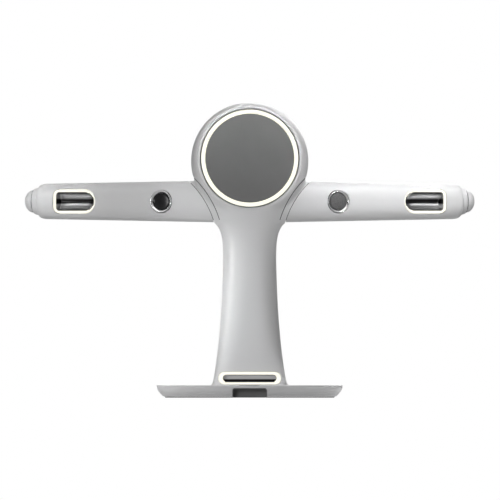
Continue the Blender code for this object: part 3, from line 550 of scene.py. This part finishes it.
def beyond_seam(radius):
    """What lies on the column's side of an arc about the seam's centre."""
    room = box((-60, -200, 200), (140, 200, 380))
    x, z = SEAM_CENTRE
    return cut(room, rod((x, -220, z), (x, 220, z), radius, sides=360))


def arm_tongue():
    """A thin sleeve inside the arm that reaches into its root and closes the seam to view."""
    sleeve = arm_tube(WALL + 0.3, -10)
    cut(sleeve, arm_tube(WALL + 1.5, -20))
    sleeve.data.transform(arm_frame())
    cut(sleeve, beyond_seam(SEAM_RADIUS + TONGUE[0]))
    x, z = SEAM_CENTRE
    return cut(sleeve, rod((x, -220, z), (x, 220, z), SEAM_RADIUS - TONGUE[1], sides=360))


def add_mesh(obj, other):
    """Moves another object's mesh into this one, as a separate shell."""
    shape = bmesh.new()
    shape.from_mesh(obj.data)
    shape.from_mesh(other.data)
    shape.to_mesh(obj.data)
    shape.free()
    bpy.data.objects.remove(other)


def both_arms(piece, name, slot, body, node, **looks):
    """Puts a piece made in the right arm's frame on that arm, and its mirror image on the left one."""
    for side, word in ((1, "right"), (-1, "left")):
        mesh = piece.data.copy()
        if side < 0:
            mesh.transform(Matrix.Diagonal((-1, 1, 1, 1)))
            mesh.flip_normals()
        made = link(f"{name}_{word}", mesh)
        mesh.transform(arm_frame(side))
        finish(made, body.replace("SIDE", word), slot, f"{node}_{word}", looks.get(word))
    bpy.data.objects.remove(piece)


def finish(piece, body, slot, node, look=None):
    """Gives a piece its look, and says what it rides on and which CAD node it stands for."""
    piece.data.shade_smooth()
    piece.data.set_sharp_from_angle(angle=SHARP_ANGLE)
    piece.data.materials.clear()
    piece.data.materials.append(FINISHES[look or slot])
    # faces that sit in gaps, grooves and seams are painted dark as shade
    dark = painted_shade_faces(piece.data, slot, node)
    if dark is not None:
        paint(piece.data, dark)
    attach(piece, body)
    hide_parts(node)


def face_middles(mesh):
    """The middle of each face in millimetres, in the column's frame."""
    middles = np.array([face.center for face in mesh.polygons]) / MM
    middles[:, 1] -= COLUMN_Y
    return middles


def painted_shade_faces(mesh, slot, node):
    """Which faces get painted shade: a lit piece's sides, ends that face a gap, the grooves and the arms'
    insides.
    """
    facing = np.array([face.normal for face in mesh.polygons])
    middles = face_middles(mesh)
    x, z = np.abs(middles[:, 0]), middles[:, 2]
    # a lit piece glows only at its front; its sides and back are painted dark, as shade in the gaps beside it
    if slot == "lit_diffuser":
        return facing[:, 1] > -0.5
    # an arm's tongue and insides near its root are painted dark, as shade in the seam
    if node.startswith(("arm_front", "arm_rear")):
        return (arm_field(middles) < ROOT_INSIDE) & (x < ROOT_EDGE)
    outward = np.abs(facing[:, 0]) * np.sign(facing[:, 0] * middles[:, 0])
    # the collar's ends and the knob's inner face are painted dark, as shade in the gap between them
    if node.startswith("end_collar"):
        return np.abs(outward) > 0.9
    if node.startswith("end_knob"):
        return outward < -0.5
    # the groove's faces are painted dark, as shade in the crease
    if node.startswith("column"):
        from_seam = np.hypot(x - SEAM_CENTRE[0], z - SEAM_CENTRE[1])
        near = (from_seam > GROOVE_RADIUS[0] - GROOVE_MARGIN) & (from_seam < GROOVE_RADIUS[1] + GROOVE_MARGIN)
        return near & (body_distance(middles) < -GROOVE_SHALLOW)
    return None


def paint(mesh, dark):
    """Gives the chosen faces a dark finish, as painted shade in gaps, grooves and seams."""
    mesh.materials.append(FINISHES["dark_plastic"])
    for face, chosen in zip(mesh.polygons, dark):
        if chosen:
            face.material_index = 1


# ---------------------------------------------------------------- lit frames, chrome and controls


def pocket_outline(inset):
    corner, round_end = POCKET_CORNER - inset, POCKET_HALF - inset
    return rounded_outline(
        (POCKET_X[0] + inset, -POCKET_HALF + inset),
        (POCKET_X[1] - inset, POCKET_HALF - inset),
        (round_end, corner, corner, round_end),
    )


def slot_outline(inset):
    half, height = SLOT_FRAME[0] - SLOT_END * inset, SLOT_FRAME[1] - inset
    return rounded_outline((-half, -height), (half, height), (height,) * 4)


def make_pocket():
    def loop(inset, depth=None, sink=0.0):
        """The pocket's outline at a depth, or sunk a little under the arm's skin."""
        outline = pocket_outline(inset)
        if depth is None:
            return [(x, arm_surface(x, z) + sink, z) for x, z in outline]
        return [(x, depth, z) for x, z in outline]

    back = POCKET_MOUTH + 0.4
    lip = POCKET_LIP
    frame = [
        loop(0, sink=0.5),
        loop(0.5, sink=0.05),
        loop(1.6, sink=0.25),
        loop(lip - 1.2, sink=1.6),
        loop(lip - 0.2, POCKET_MOUTH - 2.6),
        loop(lip, POCKET_MOUTH),
        loop(lip, back),
        loop(0, back),
    ]
    both_arms(loft("pocket_frame", frame, True), "pocket_light", "lit_diffuser", "kiosk", "pocket_frame")

    rim, sweep = back + 0.3, math.radians(84)
    radius = POCKET_HALF - POCKET_LIP - CUP_STEP
    outside, inside = [], []
    for step in range(CUP_STEPS + 1):
        angle = step / CUP_STEPS * sweep
        inset = POCKET_LIP + CUP_STEP + radius * (1 - math.cos(angle))
        depth = rim + radius * math.sin(angle)
        inside.append(trough_loop(inset, depth))
        outside.append(trough_loop(inset - CUP_WALL * math.cos(angle), depth + CUP_WALL * math.sin(angle)))
    sleeve = [trough_loop(lip + 0.1, rim)]
    for inset in (lip + 0.1, lip + CUP_STEP):
        sleeve.append([(x, arm_surface(x, z) + 2, z) for x, _, z in trough_loop(inset, 0)])
    cup = loft("pocket_cup", outside[::-1] + sleeve + inside)
    # the cups' reflections are painted on in level bands
    look = "painted_reflection_chrome"
    both_arms(cup, "pocket_cup", "chrome", "kiosk", "pocket_liner", left=look, right=look)


def trough_loop(inset, depth):
    """A section of the pocket's cup, whose outer end is steeper than its other sides."""
    steep = POCKET_LIP + 0.25 * (inset - POCKET_LIP)
    height = POCKET_HALF - inset
    corner = min(max(POCKET_CORNER - steep, 1), height)
    outline = rounded_outline(
        (POCKET_X[0] + inset, -height), (POCKET_X[1] - steep, height), (height, corner, corner, height), 12
    )
    return [(x, depth, z) for x, z in outline]


def make_button():
    at = (BUTTON_X, 0, 0)
    bezel = [
        (BEZEL_RADIUS - 0.8, -14),
        (BEZEL_RADIUS - 0.8, -28.9),
        (BEZEL_RADIUS - 1.4, -29.7),
        (BEZEL_RADIUS - 2.2, -29.4),
        (CAP_RADIUS + 0.3, -26.8),
        (CAP_RADIUS + 0.3, -14),
    ]
    ring = turned("bezel", soft_profile(bezel, 0.9, 5), "Y", at)
    both_arms(ring, "button_ring", "chrome", "kiosk", "button_bezel")
    crown, steps = 0.5, 8
    cap = [(0, CAP_FACE - crown)]
    for step in range(1, steps + 1):
        share = step / steps
        cap.append(((CAP_RADIUS - 0.6) * share, CAP_FACE - crown + crown * share**2))
    cap += [(CAP_RADIUS - 0.15, CAP_FACE + 0.2), (CAP_RADIUS, CAP_FACE + 0.6)]
    stem, cap_back, stem_end = 3.5, CAP_FACE + 5, CAP_FACE + 11
    cap += [(CAP_RADIUS, cap_back), (stem, cap_back), (stem, stem_end), (0, stem_end)]
    face = turned("cap", cap, "Y", at)
    # both caps are the same grille; the right one's lighter speckled finish is painted light, the left keeps
    # the dark one
    both_arms(face, "button_face", "dark_glass", "SIDE_button", "button_cap", right="speckle_painted_light")


def make_knob():
    start, end = COLLAR_X
    collar = [
        (3.6, start - 7),
        (13, start - 7),
        (13, start),
        (20.6, start),
        (20.4, start + 1),
        (18.6, end - 0.5),
        (18, end),
        (3.6, end),
    ]
    ring = turned("collar", soft_profile(collar, 0.7), "X")
    both_arms(ring, "knob_collar", "white_casing", "kiosk", "end_collar")
    knob = [(0, KNOB_X + 2), (3.4, KNOB_X + 2), (3.4, KNOB_X), (KNOB_RADIUS - 0.5, KNOB_X)]
    for step in range(24):
        angle = step / 24 * math.pi / 2
        knob.append((KNOB_RADIUS * math.cos(angle), KNOB_X + 0.6 + (KNOB_HEIGHT - 0.6) * math.sin(angle)))
    knob.append((0, KNOB_X + KNOB_HEIGHT))
    dome = turned("knob", knob, "X")
    pointer = rod((KNOB_X + 8.6, 0, 8.5), (KNOB_X + 22, 0, 15), 2.2)
    cut(dome, pointer)
    both_arms(dome, "knob_dome", "white_casing", "SIDE_knob", "end_knob")


def make_head():
    front = -HEAD["front"]
    centre = (0, COLUMN_Y, LENS_Z)
    face, back, edge = front + 0.4, front + 2.9, RING_INNER - 0.3
    glass = [(0, face), (edge, face), (edge, back), (0, back)]
    piece = turned("pad_glass", soft_profile(glass, 0.35), "Y", centre, 256)
    finish(piece, "kiosk", "dark_glass", "head_glass", "satin_glass")
    lit_edge = RING_OUTER - RING_SHADOW
    light = [
        (RING_INNER, front - 0.2),
        (RING_INNER + 1, front - 0.6),
        (lit_edge - 1, front - 0.6),
        (lit_edge, front - 0.2),
        (lit_edge, front + 6),
        (RING_INNER, front + 6),
    ]
    piece = turned("ring_light", soft_profile(light, 0.5), "Y", centre, 256)
    finish(piece, "kiosk", "lit_diffuser", "light_ring")


def make_slot():
    def flat(inset, depth):
        return [(x, COLUMN_Y + depth, SLOT_Z + z) for x, z in slot_outline(inset)]

    def skin(inset, sink):
        outline = [(x, SLOT_Z + z) for x, z in slot_outline(inset)]
        return [(x, COLUMN_Y + column_skin(x, z, -1) + sink, z) for x, z in outline]

    back = SLOT_MOUTH + 2
    frame = [
        skin(0, 0.5),
        skin(0.4, 0.05),
        skin(1.2, 0.1),
        skin(SLOT_LIP - 1.2, 0.9),
        flat(SLOT_LIP - 0.2, SLOT_MOUTH - 1.2),
        flat(SLOT_LIP, SLOT_MOUTH),
        flat(SLOT_LIP, back),
        flat(0, back),
    ]
    finish(loft("slot_light", frame, True), "kiosk", "lit_diffuser", "slot_frame")
    start = back + 0.3
    throat = [
        flat(SLOT_LIP - 1.2, start),
        flat(SLOT_LIP - 1.2, THROAT_END),
        flat(SLOT_LIP, THROAT_END),
        flat(SLOT_LIP, start),
    ]
    finish(loft("slot_sleeve", throat, True), "kiosk", "chrome", "slot_throat")


def make_flap():
    y, z = FLAP_PIN
    half_thick, barrel, bore = 0.6, 2, 1.5
    flap = box((-FLAP_HALF, y - half_thick, FLAP_BOTTOM), (FLAP_HALF, y + half_thick, z))
    cut(flap, rod((5 - FLAP_HALF, y, z), (FLAP_HALF, y, z), barrel), "UNION")
    open_corner = box((-FLAP_HALF - 1, y - 4, z - 3), (7 - FLAP_HALF, y + 4, z + 4))
    cut(flap, open_corner)
    cut(flap, rod((-60, y, z), (60, y, z), bore))
    flap.name = "flap_plate"
    # the flap wears chrome with a painted reflection
    finish(flap, "slot_flap", "chrome", "slot_flap", "flap_painted_reflection")


def make_base():
    def outline(inset):
        half_x, half_y = BASE_HALF[0] - inset, BASE_HALF[1] - inset
        return rounded_outline((-half_x, -half_y), (half_x, half_y), (BASE_CORNER - inset,) * 4, 20)

    def section(z, inset):
        return [(x, y, z) for x, y in outline(inset)]

    def splay(z):
        return BASE_SPLAY * (1 - z / BASE_TOP) ** 2

    bottom, side_top = 1.9, 16.2
    groove = [(16.5, 0.4), (16.8, 0.4), (17.0, 0.05), (17.3, 0)]
    edge = [(17.6, 0.08), (17.85, 0.3), (BASE_TOP, 0.7)]
    body = [section(z, splay(z)) for z in np.linspace(bottom, side_top, 14)]
    body += [section(z, inset) for z, inset in groove + edge]
    cover = loft("base_body", body)
    hollow = [section(z, splay(z) + WALL) for z in np.linspace(0, BASE_TOP - WALL, 10)]
    hollow[0] = [(x, y, -5) for x, y, _ in hollow[0]]
    cut(cover, loft("hollow", hollow))
    notch = rounded_outline((-NOTCH_HALF - 1.5, -10), (NOTCH_HALF + 1.5, NOTCH_TOP + 1.5), (1, 1, 3, 3), 6)
    cut(cover, loft("notch", [[(x, y, z) for x, z in notch] for y in (-120, NOTCH_BACK)]))
    cut(cover, box((-16, COLUMN_Y + 7, 10), (16, COLUMN_Y + 27, 30)))
    finish(cover, "kiosk", "white_casing", "base_cover")


# ---------------------------------------------------------------- materials


def noise(tree, place, scale, detail):
    made = tree.nodes.new("ShaderNodeTexNoise")
    made.inputs["Scale"].default_value = scale
    made.inputs["Detail"].default_value = detail
    tree.links.new(place.outputs["Object"], made.inputs["Vector"])
    return made.outputs["Fac"]


def surface(name, colour, rough, metal=0.0, tone=0.03, scale=30.0, wear=0.08, grain=(600.0, 0.02), **more):
    """A material whose colour and roughness drift a little, with a fine bump of a scale and a strength."""
    made = bpy.data.materials.new(name)
    made.use_nodes = True
    tree = made.node_tree
    shader = tree.nodes["Principled BSDF"]
    shader.inputs["Metallic"].default_value = metal
    for socket, value in more.items():
        shader.inputs[socket.replace("_", " ")].default_value = value
    place = tree.nodes.new("ShaderNodeTexCoord")
    drift = noise(tree, place, scale, 5)
    ramp = tree.nodes.new("ShaderNodeValToRGB")
    ramp.color_ramp.elements[0].position = 0.3
    ramp.color_ramp.elements[1].position = 0.7
    ramp.color_ramp.elements[0].color = (*[c * (1 - tone) for c in colour], 1)
    ramp.color_ramp.elements[1].color = (*[min(1, c * (1 + tone)) for c in colour], 1)
    tree.links.new(drift, ramp.inputs["Fac"])
    tree.links.new(ramp.outputs["Color"], shader.inputs["Base Color"])
    smudge = noise(tree, place, scale * 2.3, 4)
    span = tree.nodes.new("ShaderNodeMapRange")
    span.inputs["To Min"].default_value = max(0.01, rough - wear / 2)
    span.inputs["To Max"].default_value = rough + wear / 2
    tree.links.new(smudge, span.inputs["Value"])
    tree.links.new(span.outputs["Result"], shader.inputs["Roughness"])
    fine = noise(tree, place, grain[0], 3)
    bump = tree.nodes.new("ShaderNodeBump")
    bump.inputs["Strength"].default_value = grain[1]
    bump.inputs["Distance"].default_value = 0.001
    tree.links.new(fine, bump.inputs["Height"])
    tree.links.new(bump.outputs["Normal"], shader.inputs["Normal"])
    return made


def banded(made, low, high, stops):
    """Paints reflections onto a metal as soft level bands of tone between two heights; each stop is (share of
    the height, tone).
    """
    tree = made.node_tree
    shader = tree.nodes["Principled BSDF"]
    plain = shader.inputs["Base Color"].links[0].from_socket
    place = tree.nodes.new("ShaderNodeTexCoord")
    parts = tree.nodes.new("ShaderNodeSeparateXYZ")
    tree.links.new(place.outputs["Object"], parts.inputs["Vector"])
    span = tree.nodes.new("ShaderNodeMapRange")
    span.inputs["From Min"].default_value = low * MM
    span.inputs["From Max"].default_value = high * MM
    tree.links.new(parts.outputs["Z"], span.inputs["Value"])
    bands = tree.nodes.new("ShaderNodeValToRGB")
    ramp = bands.color_ramp
    for end, (position, tone) in zip(ramp.elements, (stops[0], stops[-1])):
        end.position = position
        end.color = (tone, tone, tone, 1)
    for position, tone in stops[1:-1]:
        ramp.elements.new(position).color = (tone, tone, tone, 1)
    tree.links.new(span.outputs["Result"], bands.inputs["Fac"])
    mix = tree.nodes.new("ShaderNodeMix")
    mix.data_type = "RGBA"
    mix.blend_type = "MULTIPLY"
    mix.inputs["Factor"].default_value = 1
    tree.links.new(plain, mix.inputs["A"])
    tree.links.new(bands.outputs["Color"], mix.inputs["B"])
    tree.links.new(mix.outputs["Result"], shader.inputs["Base Color"])
    return made


def chrome(name, rough):
    return surface(name, CHROME, rough, 1.0, tone=0.01, wear=0.05, grain=(200, 0.002))


def make_finishes():
    made = {}

    def add(name, *looks, **more):
        made[name] = surface(name, *looks, **more)

    add("white_casing", (0.83, 0.83, 0.835), 0.34, tone=0.012, scale=9, grain=(1500, 0.012))
    add("lit_diffuser", (0.3, 0.3, 0.28), 0.4, tone=0.02, grain=(900, 0.01))
    add("dark_glass", (0.01, 0.01, 0.011), 0.15, tone=0.1, grain=(300, 0.002), IOR=1.5)
    add("satin_glass", (0.225, 0.225, 0.225), 0.55, tone=0.03, grain=(900, 0.004), IOR=1.2)
    # a speckled grille finish made lighter as painted light, for the right button cap
    add("speckle_painted_light", (0.13, 0.13, 0.13), 0.5, tone=0.35, scale=900, grain=(900, 0.1))
    add("grey_plastic", (0.22, 0.22, 0.22), 0.5, tone=0.06, grain=(1200, 0.05))
    made["chrome"] = chrome("chrome", 0.07)
    add("grey_rubber", (0.08, 0.08, 0.08), 0.8, tone=0.1, grain=(1200, 0.15))
    add("dark_plastic", (0.075, 0.075, 0.078), 0.45, tone=0.08, grain=(1200, 0.05))
    add("steel", (0.5, 0.5, 0.51), 0.32, 1.0, tone=0.06, wear=0.15, grain=(800, 0.03))
    add("aluminium", (0.7, 0.71, 0.72), 0.4, 1.0, tone=0.05, wear=0.15, grain=(700, 0.05))
    add("circuit_board", (0.03, 0.18, 0.08), 0.45, tone=0.25, scale=400, grain=(900, 0.08))
    add("copper_winding", (0.7, 0.33, 0.17), 0.35, 1.0, tone=0.15, grain=(1600, 0.1))
    add("ferrite", (0.11, 0.11, 0.12), 0.7, tone=0.12, grain=(1000, 0.1))
    # the pocket cup's chrome gets painted reflections: light bands low down, black in the middle, grey above
    cup = chrome("painted_reflection_chrome", 0.3)
    stops = [(0, 0.5), (0.14, 1), (0.32, 0.9), (0.4, 0.03), (0.6, 0.03), (0.68, 0.6), (0.86, 0.75), (1, 0.1)]
    made["painted_reflection_chrome"] = banded(cup, ARM_Z - 13, ARM_Z + 13, stops)
    # the flap's chrome gets a painted reflection: black at the bottom, light above
    flap = chrome("flap_painted_reflection", 0.35)
    stops = [(0, 0.02), (0.3, 0.02), (0.38, 0.7), (0.9, 1), (1, 0.5)]
    made["flap_painted_reflection"] = banded(flap, SLOT_Z - 4.9, SLOT_Z + 4.9, stops)
    lit = made["lit_diffuser"].node_tree.nodes["Principled BSDF"]
    lit.inputs["Emission Color"].default_value = LIT_COLOUR
    lit.inputs["Emission Strength"].default_value = LIT_STRENGTH
    return made


def dress_nodes():
    """Gives the CAD nodes that stay in the model their finishes."""
    for part in frame["record"]["subparts"]:
        node = frame["nodes"][part["node"]]
        for holder in node.material_slots:
            holder.material = FINISHES[LOOKS.get(part["node"], part["material_slot"])]


# ---------------------------------------------------------------- studio


def add_light(name, place, aim, size, power, spread=180):
    """A rectangular light turned to its aim, in metres and watts; a small spread makes a narrow beam."""
    light = bpy.data.lights.new(name, "AREA")
    light.shape = "RECTANGLE"
    light.size, light.size_y = size
    light.energy = power
    light.spread = math.radians(spread)
    made = link(name, light)
    made.location = place
    made.rotation_euler = (Vector(aim) - Vector(place)).to_track_quat("-Z", "Y").to_euler()


def make_studio():
    camera = bpy.data.cameras.new("camera")
    camera.type = "ORTHO"
    camera.ortho_scale = VIEW_WIDTH
    made = link("camera", camera)
    made.location = VIEW_POINT
    made.rotation_euler = (math.pi / 2, 0, 0)
    bpy.context.scene.camera = made

    floor = bmesh.new()
    under = Matrix.Translation((0, 0, FLOOR_LEVEL))
    bmesh.ops.create_grid(floor, x_segments=1, y_segments=1, size=4, matrix=under)
    ground = from_bmesh("floor", floor)
    ground.data.materials.append(surface("pale_floor", (0.86, 0.86, 0.86), 0.7, tone=0.01, scale=3))

    make_world()
    bpy.context.scene.view_settings.view_transform = "Standard"
    add_light("front", (-0.56, -1.39, 0.33), (0, 0, 0.25), (0.5, 0.5), 4.3)
    add_light("column_side", (-1.035, -0.598, 0.235), (0, 0, 0.13), (0.1, 0.25), 0.06, 12)
    add_light("right_arm", (0.62, -0.97, 0.8), (0.21, 0.04, 0.29), (0.34, 0.12), 0.068, 14)
    add_light("right_arm_top", (0.54, -0.48, 1.33), (0.24, 0.04, 0.29), (0.28, 0.12), 0.085, 14)
    add_light("left_end", (-1.134, -0.665, 0.7), (-0.3, 0.06, 0.29), (0.08, 0.12), 0.022, 10)
    add_light("left_arm_top", (-0.52, -0.48, 1.33), (-0.22, 0.04, 0.29), (0.22, 0.12), 0.012, 14)
    add_light("base_side", (1.15, -0.65, 0.15), (0.14, -0.02, 0.01), (0.1, 0.05), 0.02, 8)
    add_light("head", (0.171, -0.968, 1.048), (0.01, 0, 0.385), (0.26, 0.12), 0.05, 8)
    add_light("back", (0.3, 1.5, 0.9), (0, 0, 0.25), (0.8, 0.8), 4)


def make_world():
    """A pale studio: white to the camera, and otherwise dim at the sides and brighter overhead."""
    world = bpy.data.worlds.new("studio")
    bpy.context.scene.world = world
    world.use_nodes = True
    tree = world.node_tree
    place = tree.nodes.new("ShaderNodeTexCoord")
    parts = tree.nodes.new("ShaderNodeSeparateXYZ")
    tree.links.new(place.outputs["Generated"], parts.inputs["Vector"])
    height = tree.nodes.new("ShaderNodeValToRGB")
    for end, (position, tone) in zip(height.color_ramp.elements, (SKY_DARK, SKY_BRIGHT)):
        end.position = position
        end.color = (tone, tone, tone, 1)
    tree.links.new(parts.outputs["Z"], height.inputs["Fac"])
    ray = tree.nodes.new("ShaderNodeLightPath")
    shine = tree.nodes.new("ShaderNodeMapRange")
    shine.inputs["To Min"].default_value = SKY_LIGHT
    shine.inputs["To Max"].default_value = SKY_SHINE
    tree.links.new(ray.outputs["Is Glossy Ray"], shine.inputs["Value"])
    sky = tree.nodes["Background"]
    tree.links.new(height.outputs["Color"], sky.inputs["Color"])
    tree.links.new(shine.outputs["Result"], sky.inputs["Strength"])
    backdrop = tree.nodes.new("ShaderNodeBackground")
    backdrop.inputs["Color"].default_value = (1, 1, 1, 1)
    mix = tree.nodes.new("ShaderNodeMixShader")
    tree.links.new(ray.outputs["Is Camera Ray"], mix.inputs["Fac"])
    tree.links.new(sky.outputs["Background"], mix.inputs[1])
    tree.links.new(backdrop.outputs["Background"], mix.inputs[2])
    tree.links.new(mix.outputs["Shader"], tree.nodes["World Output"].inputs["Surface"])


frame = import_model()
FINISHES = make_finishes()
dress_nodes()
make_central_casing()
make_arm_casing()
make_pocket()
make_button()
make_knob()
make_head()
make_slot()
make_flap()
make_base()
make_studio()
